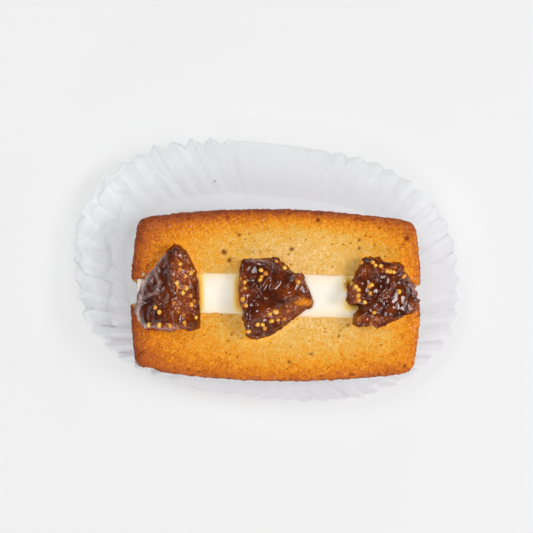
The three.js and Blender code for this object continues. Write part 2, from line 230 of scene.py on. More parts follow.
FIG_RIGHT = {
    "at": (31, 1), "ragged": 0.9,
    "lobes": [
        {"at": (-1.6, 2.6), "facets": [
            (100, 76, 4.3), (-35, 70, 4.9), (78, 5, 6.8), (180, 4, 8.4), (155, 4, 6.6), (22, 6, 8.8),
            (255, 6, 8), (-40, 18, 8.4), UNDERSIDE,
        ]},
        {"at": (2.2, -4.2), "facets": [
            (-70, 62, 4.2), (10, 72, 4.3), (-90, 4, 5.6), (-64, 5, 4.4), (20, 5, 8.1), (180, 6, 10.4),
            (139, 13, 6), (90, 12, 8.2), UNDERSIDE,
        ]},
    ],
    "seed_rows": [
        (-3, 8.6, -1.1, 7.2, 3), (0.8, 5.8, 3.2, 6, 3), (6, 4.6, 6.2, 5.6, 2),
        (-8.6, 2.6, -7, -0.6, 4), (-7, -2.1, -5.8, -3.2, 2), (-4.5, 1.4, -3.2, 2.4, 2),
        (-4.2, -0.6, -4, 0, 1), (4.9, 0.5, 5, 0, 1), (-2.5, -5.6, -2, -6, 1), (-6.2, 8.4, -5, 9, 1),
    ],
    "knobs": [(-9.2, -2.4, 1.8, 1.5), (-8.8, 1.6, 2.4, 1.6), (9.6, -4.2, 2.2, 1.3)],
    "folds": [
        (-4.3, 5.9, -2.8, 4.1, 0.5, 0.5), (-2.8, 6.2, -1.3, 4.8, 0.45, 0.5),
        (0.5, 1.1, -1.3, -1, 0.5, 0.5), (2.3, 1.9, 0.5, -1.8, 0.5, 0.6),
        (5.6, 3.3, 6.7, -0.3, 0.45, 0.5), (-3.9, -3.2, -1.3, -5.1, 0.5, 0.6),
        (8.1, -2.9, 9.6, -2.5, 0.4, 0.4), (6.6, 5.2, 9, 0, 0.4, 0.5), (3, -7.6, 4.5, -6.4, 0.4, 0.5),
        (-6, -1.6, -2.6, -2.2, -0.6, 0.6),
    ],
    "dents": [(1.6, 8.4, 1.2, 1.3), (-7, -4.6, 1.8, 1.6), (7.4, 6.6, 0.8, 1.2), (6.6, -6.6, 0.7, 1.2)],
    "flesh": [(-8.4, 0, 1.9, 3.6), (-3, -8, 5, 1.2), (9.4, -4.4, 1.8, 1.6), (1.5, 6.6, 4, 0.9)],
    "glow": [(-5.4, 6, 1.8, 2.2)], "amber": [(-8.2, -7, 1.4, 1.6)],
    "bloom": [(7.4, 4.2, 9.2, -0.4, 0.4, 0.4)],
}
FIGS = {"fig_left": FIG_LEFT, "fig_middle": FIG_MIDDLE, "fig_right": FIG_RIGHT}
# Relief of the figs. Seeds of noise are counted from each fig's own.
FIG_NOISE_SEED = 40
FIG_NOISE_STEP = 5  # from one fig's seed to the next
FIG_LUMPS = [(0.4, 4.2, 2), (0.12, 1.8, 3)]
FIG_CREASES = [(0.45, 5.5, 0, 9)]
FIG_WRINKLES = [(1, (2.6, 4.2, 3.4), 1, 4)]
FIG_WRINKLE_HEIGHT = 0.16
FIG_WRINKLE_MEAN = 0.4  # of wrinkles from 0 to 1
FIG_TEARS = [(1, (3.4, 3.4, 9), 4), (0.8, (1.1, 1.1, 4), 7)]
FIG_PULP = [(0.22, 1.1, 5), (0.12, 0.6, 6)]
FIG_RELIEF_BELOW = 0.45  # share of the relief near the cake
GLOW_STRENGTH = 0.8

# Seeds that lie open, and small ones that are sunk in the flesh. Sizes are shares of the radius.
SEED_RADIUS = 0.75
SEED_LENGTHS = (0.85, 1.08)
SEED_WIDTHS = (0.8, 0.98)
SEED_FLATNESS = 0.85
OPEN_SEEDS = {"sizes": (0.85, 1.05), "lift": 0, "tints": (0.4, 1)}
SUNK_SEEDS = {"sizes": (0.6, 0.9), "lift": -0.15, "tints": (0, 0.35)}
SUNK_SEEDS_PER_MM2 = 0.18
SEED_STRAY = 0.35  # how far seeds lie off their row
SEED_STRAY_TURN = 2.4  # radians from one seed of a row to the next

# The cream bulges at the channel's walls and open ends, and has a lip that climbs to the cake's top. Ends
# are distances along the channel, and lips across it and below the top.
CREAM = {
    "side_growth": 0.16, "end_growth": 0.6, "ends": (38, 39.4), "lip_across": (4.8, 5.8),
    "lip_below": (0.9, 0.3), "lip_growth": 0.4, "lip_rise": 0.8, "lip_gap": 0.05,
}
CREAM_RIPPLES = [(0.07, (3, 14, 6), 21), (0.04, 2.5, 22)]
LIP_WANDER = [(0.25, 3.5, 23)]
# Beside the crumb the cream is darker and yellower: partly soaked, partly painted shade from the crumb's
# wall
CREAM_SOAKING = [(0.6, 0.8), (0.4, 3.5)]  # strength beside the crumb, and reach
FIG_SOAK_REACH = 1.2  # how far the crumb and the cream beside a fig are painted lighter, lifting its shade; on the crumb partly soaked syrup

# Loose crumbs: x, y, radius, and paleness from 0 to 1
CRUMBS = [(-18.2, 34.1, 0.22, 0.25), (-38.6, 6.1, 0.5, 0.9)]
CRUMB_CENTRE = 0.6  # radii over the ground
CRUMB_ROUGHNESS = 0.35
CRUMB_BUMPS = 1.3  # to a radius

# Syrup that has run out from under the figs: x, y, half sizes, depth
SYRUP_POOLS = [(21, 3.6, 1.2, 1.6, 0.16), (22.6, -2.5, 2, 1.3, 0.16)]
POOL_RINGS = 8
POOL_SPOKES = 40
POOL_RAGGEDNESS = 0.25
POOL_NOISE_Z = 1.5
POOL_SHORE_DEPTH = 0.04
POOL_ROOT = 0.5  # how far a pool's underside lies below the ground
# Syrup that the cream has soaked up: x, y, half sizes, strength
SYRUP_STAINS = [
    (-22.6, 0.9, 1.5, 7, 0.95), (-10.6, 0.6, 1.5, 5.5, 1), (21.1, 3.4, 1.7, 2.4, 0.75),
    (22.4, -2.6, 2.5, 2, 0.75),
]


def smoothstep(values, start, end):
    """0 up to the start and 1 from the end on, with a soft rise between. The start may be the higher."""
    share = np.clip((values - start) / (end - start), 0, 1)
    return share * share * (3 - 2 * share)


def direction(azimuth, elevation):
    """Unit vectors at angles round from +X, and up from level."""
    around = np.radians(azimuth)
    up = np.radians(elevation)
    return np.stack([np.cos(up) * np.cos(around), np.cos(up) * np.sin(around), np.sin(up)], axis=-1)


def noise_at(points, size, seed):
    """Smooth noise from about -1 to 1, with bumps of a size that may differ along each axis."""
    scaled = points / np.asarray(size, float) + NOISE_SHIFT * seed
    return np.array([noise.noise(Vector(p)) for p in scaled])


def layered_noise(points, layers, first_seed=0):
    return sum(height * noise_at(points, size, first_seed + seed) for height, size, seed in layers)


def layered_ridges(points, layers, first_seed=0):
    """Layers that have their full height along thin winding crests, and fall to 0 between them."""
    ridges = [
        height * (1 - np.abs(noise_at(points, size, first_seed + seed))) ** sharpness
        for height, size, seed, sharpness in layers
    ]
    return sum(ridges)


def vectors_of(mesh, name):
    flat = np.empty(3 * len(mesh.vertices), np.float32)
    mesh.vertices.foreach_get(name, flat)
    return flat.reshape(-1, 3).astype(float)


def set_points(mesh, points):
    mesh.vertices.foreach_set("co", (points * MM).astype(np.float32).ravel())
    mesh.update()


def set_attributes(mesh, **attributes):
    for name, values in attributes.items():
        attribute = mesh.attributes.new(name, "FLOAT", "POINT")
        attribute.data.foreach_set("value", np.asarray(values, np.float32))


def add_object(name, data):
    made = bpy.data.objects.new(name, data)
    bpy.context.scene.collection.objects.link(made)
    return made


def mesh_from(name, points, faces):
    mesh = bpy.data.meshes.new(name)
    mesh.from_pydata([tuple(p) for p in np.asarray(points) * MM], [], faces)
    mesh.shade_smooth()
    return mesh


def even_piece(name, mesh, width, softenings):
    """A piece with a mesh's form in even faces of about one width, softened, its points and normals."""
    made = add_object(name, mesh)
    remesh = made.modifiers.new("even_faces", "REMESH")
    remesh.mode = "VOXEL"
    remesh.voxel_size = width * MM
    soften = made.modifiers.new("soften", "SMOOTH")
    soften.iterations = softenings
    evaluated = made.evaluated_get(bpy.context.evaluated_depsgraph_get())
    shaped = bpy.data.meshes.new_from_object(evaluated)
    made.modifiers.clear()
    made.data = shaped
    shaped.shade_smooth()
    return made, vectors_of(shaped, "co") / MM, vectors_of(shaped, "normal")


def add_ball(shape, radius):
    """Adds a ball to a shape that is being built, and returns its points."""
    return bmesh.ops.create_icosphere(shape, subdivisions=BALL_SUBDIVISIONS, radius=radius)["verts"]


def tinted_object(name, shape, tints):
    """An object from a shape that was built in millimetres, with a tint for each point."""
    mesh = bpy.data.meshes.new(name)
    shape.to_mesh(mesh)
    shape.free()
    mesh.transform(Matrix.Scale(MM, 4))
    mesh.shade_smooth()
    set_attributes(mesh, tint=tints)
    return add_object(name, mesh)


def surface_tree(piece):
    """The surface of a piece, for rays to meet."""
    return BVHTree.FromObject(piece, bpy.context.evaluated_depsgraph_get())


def landings(tree, plan):
    """Where things dropped at places in plan land on a surface, with its normals there."""
    found = []
    for x, y in plan:
        hit, normal, _, _ = tree.ray_cast(Vector((x, y, ABOVE_ALL)) * MM, DOWN)
        if hit:
            found.append((hit / MM, normal))
    return found


def ground_height(trees, x, y):
    """Height of the topmost of some surfaces at a place in plan."""
    return max(place.z for tree in trees for place, _ in landings(tree, [(x, y)]))


def finish_piece(piece, material, slot, *nodes):
    """Gives a piece its material, and its place in the frame."""
    piece.data.materials.clear()
    piece.data.materials.append(material)
    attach(piece, "root")
    if nodes:
        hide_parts(*nodes)


def linear(colour):
    """Shader colour from red, green and blue as a screen shows them, 0 to 255."""
    shares = [c / 255 for c in colour]
    return [s / 12.92 if s <= 0.04045 else ((s + 0.055) / 1.055) ** 2.4 for s in shares] + [1]


class Nodes:
    """Builds the nodes of one material or world. An input is a value or another node's output."""

    def __init__(self, owner):
        self.owner = owner
        owner.use_nodes = True
        self.tree = owner.node_tree
        self.tree.nodes.clear()
        self.coordinates = self.add("TexCoord")
        self.place = self.coordinates["Object"]

    def add(self, kind, inputs=None, **settings):
        node = self.tree.nodes.new("ShaderNode" + kind)
        for name, value in settings.items():
            setattr(node, name, value)
        for name, value in (inputs or {}).items():
            if isinstance(value, bpy.types.NodeSocket):
                self.tree.links.new(value, node.inputs[name])
            else:
                node.inputs[name].default_value = value
        return node.outputs

    def attribute(self, name):
        return self.add("Attribute", attribute_name=name)["Fac"]

    def noise(self, size, detail=2):
        inputs = {"Vector": self.place, "Scale": 1 / (size * MM), "Detail": detail}
        return self.add("TexNoise", inputs)["Fac"]

    def math(self, operation, a, b):
        return self.add("Math", {0: a, 1: b}, operation=operation)[0]

    def map(self, value, low, high, to_low=0.0, to_high=1.0, **settings):
        inputs = {"Value": value, "From Min": low, "From Max": high, "To Min": to_low, "To Max": to_high}
        return self.add("MapRange", inputs, **settings)[0]

    def spread(self, noise_value, low=0.0, high=1.0):
        """Spreads the usual range of a noise between two values."""
        return self.map(noise_value, 0.3, 0.7, low, high)

    def mix(self, share, a, b, blend="MIX"):
        """Mixes two colours, which are the node's sockets 6 and 7, into its output 2."""
        return self.add("Mix", {0: share, 6: a, 7: b}, data_type="RGBA", blend_type=blend)[2]

    def ramp(self, value, tones):
        made = self.add("ValToRGB", {0: value})[0]
        stops = made.node.color_ramp.elements
        while len(stops) < len(tones):
            stops.new(1)
        for stop, (position, colour) in zip(stops, tones):
            stop.position = position
            stop.color = linear(colour)
        return made

    def bump(self, height, distance, strength):
        return self.add("Bump", {"Height": height, "Distance": distance * MM, "Strength": strength})[0]

    def principled(self, **inputs):
        named = {name.replace("_", " "): value for name, value in inputs.items()}
        return self.add("BsdfPrincipled", named)[0]

    def finish(self, shader, kind="OutputMaterial"):
        self.add(kind, {"Surface": shader})
        return self.owner

    def surface(self, **inputs):
        return self.finish(self.principled(**inputs))


def material_nodes(name):
    return Nodes(bpy.data.materials.new(name))


# The paper case

def oval_points(oval, angle):
    """Points of one of the case's ovals in plan, at polar angles from its centre, in radians."""
    stretch = 1 + PAPER["stretch"] * np.cos(2 * (angle - math.radians(PAPER["stretch_angle"])))
    around = np.column_stack([np.cos(angle), np.sin(angle)])
    squareness = oval["squareness"]
    gauge = (np.abs(around / oval["half"]) ** squareness).sum(axis=1) ** (1 / squareness)
    return oval["centre"] + around * (stretch / gauge)[:, None]


def even_rim_angles(count):
    """Polar angles in radians whose points are evenly spaced along the rim."""
    angles = np.linspace(0, 2 * math.pi, RIM_SAMPLES)
    steps = np.linalg.norm(np.diff(oval_points(RIM, angles), axis=0), axis=1)
    lengths = np.concatenate([[0], np.cumsum(steps)])
    wanted = np.arange(count) / count * lengths[-1]
    return np.interp(wanted, lengths, angles)


def along_stretches(angle, stretches, between):
    """A value that is higher along some stretches of the rim."""
    values = np.full_like(angle, between)
    for centre, half_width, height in stretches:
        away = (np.degrees(angle) - centre + 180) % 360 - 180
        values += height * np.exp(-(away / half_width) ** 4)
    return values


def flute_heights(angle):
    round_the_rim = np.column_stack([np.cos(angle), np.sin(angle), np.zeros_like(angle)])
    uneven = 1 + layered_noise(round_the_rim, FLUTE_UNEVENNESS)
    return along_stretches(angle, FLUTED_STRETCHES, PAPER["flute_between"]) * uneven


def flute_wave(turn):
    """A zigzag with softly folded crests, from -1 to 1."""
    phase = turn * PAPER["flutes"] * 2 * math.pi
    return np.arcsin(PAPER["flute_sharpness"] * np.cos(phase)) / math.asin(PAPER["flute_sharpness"])


def paper_middle(shares, turns, angles):
    """Rows of the sheet's middle. Shares below 0 are on the floor, 0 is the fold and 1 the rim."""
    fold = oval_points(FOLD, angles)
    outward = oval_points(RIM, angles) - fold
    plan = np.linalg.norm(outward, axis=1)
    outward /= plan[:, None]
    rise = np.sqrt(PAPER["wall"] ** 2 - plan ** 2)
    wave = flute_heights(angles) * flute_wave(turns)
    on_wall = np.maximum(shares, 0)[:, None]
    on_floor = np.minimum(shares, 0)[:, None, None]
    sag = PAPER["sag"] * np.sin(math.pi * on_wall) / PAPER["wall"]
    in_and_up = on_wall ** PAPER["flute_growth"] * wave * math.sqrt(0.5)
    across = plan * on_wall + rise * sag - in_and_up
    up = rise * on_wall - plan * sag + in_and_up
    flat = fold + (fold - FOLD["centre"]) * on_floor + outward * across[..., None]
    return np.concatenate([flat, up[..., None]], axis=2)


def crumple(middle, shares, angles):
    """How far the wall stands out of true where the paper has been handled."""
    rising = smoothstep(shares, 0, PAPER["full_crumple"])[:, None]
    handled = along_stretches(angles, CRUMPLED_STRETCHES, PAPER["crumple_between"])
    flat = middle.reshape(-1, 3)
    waves = layered_noise(flat, PAPER_WAVES)
    creases = layered_ridges(flat, PAPER_CREASES) + layered_noise(flat, PAPER_DIMPLES)
    shape = middle.shape[:2]
    return rising * (waves.reshape(shape) + handled * creases.reshape(shape))


def sheet_normals(middle):
    """Normals of the sheet, away from the cake."""
    along = np.roll(middle, -1, axis=1) - np.roll(middle, 1, axis=1)
    up = np.gradient(middle, axis=0)
    normals = np.cross(along, up)
    return normals / np.linalg.norm(normals, axis=2, keepdims=True)


def sheet_faces(rows, count):
    """Faces of a closed sheet: both sides row by row, the rim between them, and a fan to each hub."""
    inside = rows * count
    hub = 2 * rows * count
    rim = (rows - 1) * count
    faces = []
    for i in range(count):
        j = (i + 1) % count
        for low in range(0, rim, count):
            high = low + count
            faces.append((low + i, low + j, high + j, high + i))
            faces.append((inside + low + j, inside + low + i, inside + high + i, inside + high + j))
        faces.append((rim + i, rim + j, inside + rim + j, inside + rim + i))
        faces.append((hub, j, i))
        faces.append((hub + 1, inside + i, inside + j))
    return faces


def make_paper():
    count = PAPER["flutes"] * PAPER["samples_per_flute"]
    turns = np.arange(count) / count
    angles = even_rim_angles(count)
    shares = np.concatenate([FLOOR_ROWS, np.linspace(0, 1, PAPER["wall_rows"])])
    middle = paper_middle(shares, turns, angles)
    middle += sheet_normals(middle) * crumple(middle, shares, angles)[..., None]
    half = PAPER["thickness"] / 2
    offset = sheet_normals(middle) * half
    outside = (middle + offset).reshape(-1, 3)
    inside = (middle - offset).reshape(-1, 3)
    hubs = [(*FOLD["centre"], half), (*FOLD["centre"], -half)]
    points = np.concatenate([outside, inside, hubs])
    points[:, 2] = np.maximum(points[:, 2] + half, 0)
    return add_object("paper", mesh_from("paper", points, sheet_faces(len(shares), count)))


def paper_material():
    nodes = material_nodes("greaseproof_paper")
    fibres = nodes.noise(0.5, 4)
    clouds = nodes.noise(9, 3)
    tone = nodes.mix(nodes.spread(clouds), linear((250.5, 251.5, 253)), linear((252.5, 253.5, 255)))
    sheet = nodes.principled(
        Base_Color=tone,
        Roughness=nodes.spread(clouds, 0.38, 0.55),
        Specular_IOR_Level=0.35,
        Normal=nodes.bump(fibres, 0.03, 0.4),
    )
    shining_through = nodes.add("BsdfTranslucent", {"Color": tone})[0]
    both = {0: LIGHT_THROUGH_PAPER, 1: sheet, 2: shining_through}
    return nodes.finish(nodes.add("MixShader", both)[0])


# The cake

def cake_shares(points):
    """Place along and across the cake, from -1 to 1 between its rims."""
    x, y = points[:, 0], points[:, 1]
    along = x / CAKE["half_length"]
    across = y / CAKE["half_width"] / (1 - CAKE["side_bow"] * np.clip(along, -1, 1) ** 2)
    along = along / (1 - CAKE["end_bow"] * np.clip(across, -1, 1) ** 2)
    return along, across


def cake_top(points):
    along, across = np.clip(cake_shares(points), -1, 1)
    return CAKE_TOP + CAKE["crown"] * (1 - along ** 2) * (1 - across ** 2)


def channel_swell(points):
    """How far the crumb beside the channel, and the cream in it, are pushed aside."""
    x, y, far, reach_x, reach_y = CHANNEL_SWELL
    return far * np.exp(-((points[:, 0] - x) / reach_x) ** 2 - ((points[:, 1] - y) / reach_y) ** 2)


def channel_lean(points):
    """How far the channel's walls lean in over the cream, which leaves no gap between them."""
    x, y, z = points.T
    beside_cream = smoothstep(np.abs(y), 7.6, 6.6)
    within_ends = smoothstep(np.abs(x), 41, 39)
    near_top = smoothstep(CAKE_TOP - z, 4, 1)
    return -np.sign(y) * CHANNEL_LEAN * beside_cream * within_ends * near_top


def in_channel(points, normals):
    """1 on the walls of the channel and 0 elsewhere."""
    _, y, z = points.T
    below_top = smoothstep(CAKE_TOP - z, 0.6, 1.6)
    beside_cream = smoothstep(np.abs(y), 7.4, 6.9)
    above_floor = smoothstep(z, 9, 11)
    along_cake = smoothstep(np.abs(normals[:, 0]), 0.5, 0.2)
    return below_top * beside_cream * above_floor * along_cake


def paleness_along(x):
    """How pale the middle of the top is along the cake, with 1 where it is palest."""
    far_off, browner = [np.where(x < PALE_AT, *pair) for pair in zip(PALE_TO_WEST, PALE_TO_EAST)]
    return 1 - browner * smoothstep(np.abs(x - PALE_AT) / far_off, 0.05, 1)


def top_browning(points):
    """How dark the top of the crust is."""
    along, across = cake_shares(points)
    to_rim = {
        "north": (1 - across) * CAKE["half_width"], "south": (1 + across) * CAKE["half_width"],
        "east": (1 - along) * CAKE["half_length"], "west": (1 + along) * CAKE["half_length"],
    }
    baked = {}
    for side, (strength, reach) in CRUST.items():
        baked[side] = np.clip(strength * np.exp(-np.maximum(to_rim[side], 0) / reach), 0, 1)
    baked["west"] *= 1 - WEST_FADE * smoothstep(-across, 0, 0.7)
    pale = paleness_along(points[:, 0])
    pale *= (1 - baked["north"]) * (1 - baked["west"]) * (1 - np.maximum(baked["south"], baked["east"]))
    return 1 - pale


def browning(points, normals):
    """How dark the crust is, from 0 for pale crumb to 1 for dark brown."""
    sides = SIDE_BROWNING + layered_noise(points, SIDE_PATCHES)
    brown = sides + (top_browning(points) - sides) * smoothstep(normals[:, 2], 0.1, 0.55)
    brown += (CHANNEL_BROWNING - brown) * in_channel(points, normals)
    return np.clip(brown, 0, 1)


def fine_pits():
    draw = random.Random(RANDOM_SEEDS["pits"])
    pits = []
    for _ in range(FINE_PITS["count"]):
        x = draw.uniform(-FINE_PITS["half_x"], FINE_PITS["half_x"])
        y = draw.uniform(-FINE_PITS["half_y"], FINE_PITS["half_y"])
        radius = draw.uniform(*FINE_PITS["radii"])
        pits.append((x, y, radius, radius * draw.uniform(*FINE_PITS["depths"])))
    return pits


def pit_field(points, normals, pits):
    """Depth of the pits at each point, and how far each point lies inside one, from 0 to 1."""
    depth = np.zeros(len(points))
    inside = np.zeros(len(points))
    top = np.flatnonzero(normals[:, 2] > 0.5)
    for x, y, radius, deep in pits:
        away = np.hypot(points[top, 0] - x, points[top, 1] - y) / radius
        near = top[away < PIT_REACH]
        ragged = away[away < PIT_REACH] * (1 + layered_noise(points[near], PIT_RAGGEDNESS))
        share = np.exp(-ragged ** 4)
        depth[near] = np.maximum(depth[near], deep * share)
        inside[near] = np.maximum(inside[near], share)
    return depth, inside


def nearness_to_figs(points):
    """1 beside a fig, fading to 0 a few millimetres away."""
    nearness = np.zeros(len(points))
    for fig in FIGS.values():
        for lobe in fig["lobes"]:
            offsets = points - lobe_centre(fig, lobe)
            outside = np.maximum(0, 1 - 1 / lobe_gauge(lobe, offsets))
            away = outside * np.linalg.norm(offsets, axis=1)
            nearness = np.maximum(nearness, np.exp(-away / FIG_SOAK_REACH))
    return nearness


def make_cake():
    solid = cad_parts["cake"].data.copy()
    cake, points, normals = even_piece("cake_crumb", solid, *CAKE_FACES)
    brown = browning(points, normals)
    pit_depth, in_pit = pit_field(points, normals, PITS + fine_pits())
    edge = smoothstep(1 - normals[:, 2], 0.1, 0.5) * smoothstep(points[:, 2], 5, 17)
    holes = smoothstep(layered_noise(points, CRUMB_HOLES), 0.32, 0.6) * smoothstep(brown, 0.3, 0.7)
    brown -= layered_noise(points, CRUMB_SHADES)
    relief = layered_noise(points, CRUMB_RELIEF) + edge * layered_noise(points, EDGE_RELIEF)
    relief -= pit_depth + HOLE_DEPTH * holes + dents_at(CHIPS, points[:, :2])
    points += normals * relief[:, None]
    points[:, 1] += channel_swell(points) + channel_lean(points)
    set_points(cake.data, points)
    pit = np.maximum(in_pit, HOLE_SHADE * holes)
    # Beside the figs the crumb is lighter and yellower: partly soaked syrup, partly painted light that
    # lifts the figs' shade
    set_attributes(cake.data, browning=brown, pit=pit, soaked=nearness_to_figs(points))
    return cake


def cake_material():
    nodes = material_nodes("baked_almond_crumb")
    grain = nodes.noise(0.42, 2)
    patches = nodes.noise(2.6, 3)
    mottled = nodes.math("ADD", nodes.attribute("browning"), nodes.spread(patches, -0.045, 0.045))
    mottled = nodes.math("ADD", mottled, nodes.spread(grain, -0.2, 0.2))
    palest = CRUST_TONES[0][0]
    tones = [((brown - palest) / (1 - palest), colour) for brown, colour in CRUST_TONES]
    tone = nodes.ramp(nodes.map(mottled, palest, 1), tones)
    # Beside the figs: soaked syrup and painted light dodge the crumb lighter and yellower
    tone = nodes.mix(nodes.attribute("soaked"), tone, (0.3, 0.26, 0.08, 1), blend="DODGE")
    cells = nodes.add("TexVoronoi", {"Vector": nodes.place, "Scale": 1 / (1.1 * MM)})
    chosen = nodes.add("SeparateColor", {"Color": cells["Color"]})[0]
    speck = nodes.math("LESS_THAN", cells["Distance"], nodes.map(chosen, 0.5, 1.0, 0.0, 0.28))
    pit = nodes.attribute("pit")
    tone = nodes.mix(nodes.math("MULTIPLY", speck, 0.95), tone, linear((176, 92, 0)))
    tone = nodes.mix(nodes.math("MULTIPLY", pit, 0.95), tone, linear((116, 42, 0)))
    glints = nodes.map(nodes.noise(0.9, 1), 0.56, 0.66, 0, 0.7)
    height = nodes.math("SUBTRACT", grain, nodes.math("MULTIPLY", speck, 0.1))
    return nodes.surface(
        Base_Color=tone,
        Roughness=nodes.spread(grain, 0.42, 0.75),
        Specular_IOR_Level=0.15,
        Coat_Weight=nodes.math("MULTIPLY", glints, nodes.math("SUBTRACT", 1, pit)),
        Coat_Roughness=0.22,
        Normal=nodes.bump(height, 0.35, 0.8),
    )


# The cream

def shape_cream(points, normals):
    """Presses the cream out to the channel's walls and ends, and draws its lips up to the cake's top."""
    sides = 1 - smoothstep(normals[:, 2], 0.5, 0.9)
    outward = layered_noise(points, CREAM_RIPPLES) + CREAM["side_growth"] * sides
    points += normals * outward[:, None]
    at_end = smoothstep(np.abs(points[:, 0]), *CREAM["ends"])
    points[:, 0] += np.sign(points[:, 0]) * CREAM["end_growth"] * at_end
    at_lip = smoothstep(cake_top(points) - points[:, 2], *CREAM["lip_below"])
    at_lip *= smoothstep(np.abs(points[:, 1]), *CREAM["lip_across"])
    wander = layered_noise(points * (1, 0, 0), LIP_WANDER)
    points[:, 1] += np.sign(points[:, 1]) * at_lip * (CREAM["lip_growth"] + wander)
    below_crumb = cake_top(points) - CREAM["lip_gap"] - points[:, 2]
    points[:, 2] += at_lip * below_crumb * CREAM["lip_rise"]


def syrup_stain(points):
    stain = np.zeros(len(points))
    for x, y, half_x, half_y, strength in SYRUP_STAINS:
        away = ((points[:, 0] - x) / half_x) ** 2 + ((points[:, 1] - y) / half_y) ** 4
        stain = np.maximum(stain, strength * np.exp(-away))
    return stain


def make_cream():
    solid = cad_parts["cream"].data.copy()
    cream, points, normals = even_piece("cream_bar", solid, *CREAM_FACES)
    shape_cream(points, normals)
    across = np.abs(points[:, 1])
    # Darker, yellower cream at the borders: partly soaked, partly painted shade
    soaked = sum(strength * np.exp((across - across.max()) / reach) for strength, reach in CREAM_SOAKING)
    points[:, 1] += channel_swell(points)
    set_points(cream.data, points)
    beside_fig = nearness_to_figs(points)
    set_attributes(cream.data, stain=syrup_stain(points), soaked=soaked, beside_fig=beside_fig)
    return cream


def cream_material():
    nodes = material_nodes("white_cream")
    clouds = nodes.noise(4, 3)
    tone = nodes.mix(nodes.spread(clouds), linear((241, 236, 220)), linear((246, 242, 231)))
    # Painted light beside the figs, lifting the shade they cast on the cream
    tone = nodes.mix(nodes.attribute("beside_fig"), tone, linear((255, 252, 240)))
    # The borders: soaked cream and painted shade from the crumb's wall
    tone = nodes.mix(nodes.attribute("soaked"), tone, linear((236, 198, 136)))
    stain = nodes.attribute("stain")
    stained = nodes.ramp(stain, [(0.2, (248, 220, 150)), (0.6, (250, 196, 72)), (1.0, (226, 146, 26))])
    tone = nodes.mix(nodes.map(stain, 0, 0.4), tone, stained)
    return nodes.surface(
        Base_Color=tone,
        Roughness=nodes.spread(clouds, 0.3, 0.42),
        Subsurface_Weight=0.3, Subsurface_Radius=(1, 0.8, 0.5), Subsurface_Scale=1.0 * MM,
        Normal=nodes.bump(nodes.noise(0.8, 3), 0.05, 0.3),
    )


# The syrup

def pool_rings(pool, trees):
    """Points of a shallow dome, ring by ring from its middle to its ragged shore."""
    x, y, half_x, half_y, depth = pool
    points = []
    for ring in range(1, POOL_RINGS + 1):
        share = ring / POOL_RINGS
        for spoke in range(POOL_SPOKES):
            turn = 2 * math.pi * spoke / POOL_SPOKES
            ragged = noise.noise(Vector((x + math.cos(turn), y + math.sin(turn), POOL_NOISE_Z)))
            reach = share * (1 + POOL_RAGGEDNESS * ragged)
            place_x = x + half_x * reach * math.cos(turn)
            place_y = y + half_y * reach * math.sin(turn)
            swell = depth * (1 - share ** 2) - POOL_SHORE_DEPTH * share
            points.append((place_x, place_y, ground_height(trees, place_x, place_y) + swell))
    return points


def dome_faces(first):
    """Faces of a closed dome whose points are its middle, its rings and a middle underneath."""
    spokes = POOL_SPOKES
    last = first + 1 + POOL_RINGS * spokes
    faces = []
    for i in range(spokes):
        j = (i + 1) % spokes
        faces.append((first, first + 1 + i, first + 1 + j))
        faces.append((last, last - spokes + j, last - spokes + i))
        for inner in range(first + 1, last - spokes, spokes):
            outer = inner + spokes
            faces.append((inner + i, outer + i, outer + j, inner + j))
    return faces


def make_syrup(grounds):
    trees = [surface_tree(ground) for ground in grounds]
    points = []
    faces = []
    for pool in SYRUP_POOLS:
        x, y, _, _, depth = pool
        level = ground_height(trees, x, y)
        faces += dome_faces(len(points))
        points += [(x, y, level + depth), *pool_rings(pool, trees), (x, y, level - POOL_ROOT)]
    syrup = add_object("fig_syrup", mesh_from("fig_syrup", points, faces))
    ring_depths = np.repeat(1 - np.arange(1, POOL_RINGS + 1) / POOL_RINGS, POOL_SPOKES)
    set_attributes(syrup.data, depth=[1, *ring_depths, 0] * len(SYRUP_POOLS))
    return syrup


def syrup_material():
    nodes = material_nodes("amber_syrup")
    tone = nodes.ramp(nodes.attribute("depth"), [
        (0.0, (238, 208, 118)), (0.35, (226, 172, 58)), (0.75, (206, 132, 26)), (1.0, (184, 100, 20)),
    ])
    return nodes.surface(
        Base_Color=tone,
        Roughness=0.2,
        Subsurface_Weight=0.4, Subsurface_Radius=(1, 0.6, 0.2), Subsurface_Scale=0.8 * MM,
        Coat_Weight=0.25, Coat_Roughness=0.25,
    )


# The figs

def lobe_gauge(lobe, offsets):
    """1 on the lobe's surface and less inside it, in proportion to the distance from its centre."""
    azimuth, elevation, distance = np.array(lobe["facets"]).T
    shares = np.maximum(0, offsets @ direction(azimuth, elevation).T / distance)
    return (shares ** FIG_EDGE_SHARPNESS).sum(axis=1) ** (1 / FIG_EDGE_SHARPNESS)


def lobe_centre(fig, lobe):
    return np.array([*np.add(fig["at"], lobe["at"]), FIG_CENTRE_Z])


def lobes_mesh(name, fig):
    ball = bmesh.new()
    bmesh.ops.create_icosphere(ball, subdivisions=LOBE_SUBDIVISIONS, radius=1)
    directions = np.array([v.co for v in ball.verts])
    triangles = np.array([[v.index for v in face.verts] for face in ball.faces])
    ball.free()
    parts = []
    for lobe in fig["lobes"]:
        reach = 1 / lobe_gauge(lobe, directions)
        parts.append(lobe_centre(fig, lobe) + directions * reach[:, None])
    for x, y, height, radius in fig["knobs"]:
        centre = np.array([*np.add(fig["at"], (x, y)), CAKE_TOP + height])
        parts.append(centre + directions * radius)
    faces = np.concatenate([triangles + i * len(directions) for i in range(len(parts))])
    return mesh_from(name, np.concatenate(parts), faces.tolist())


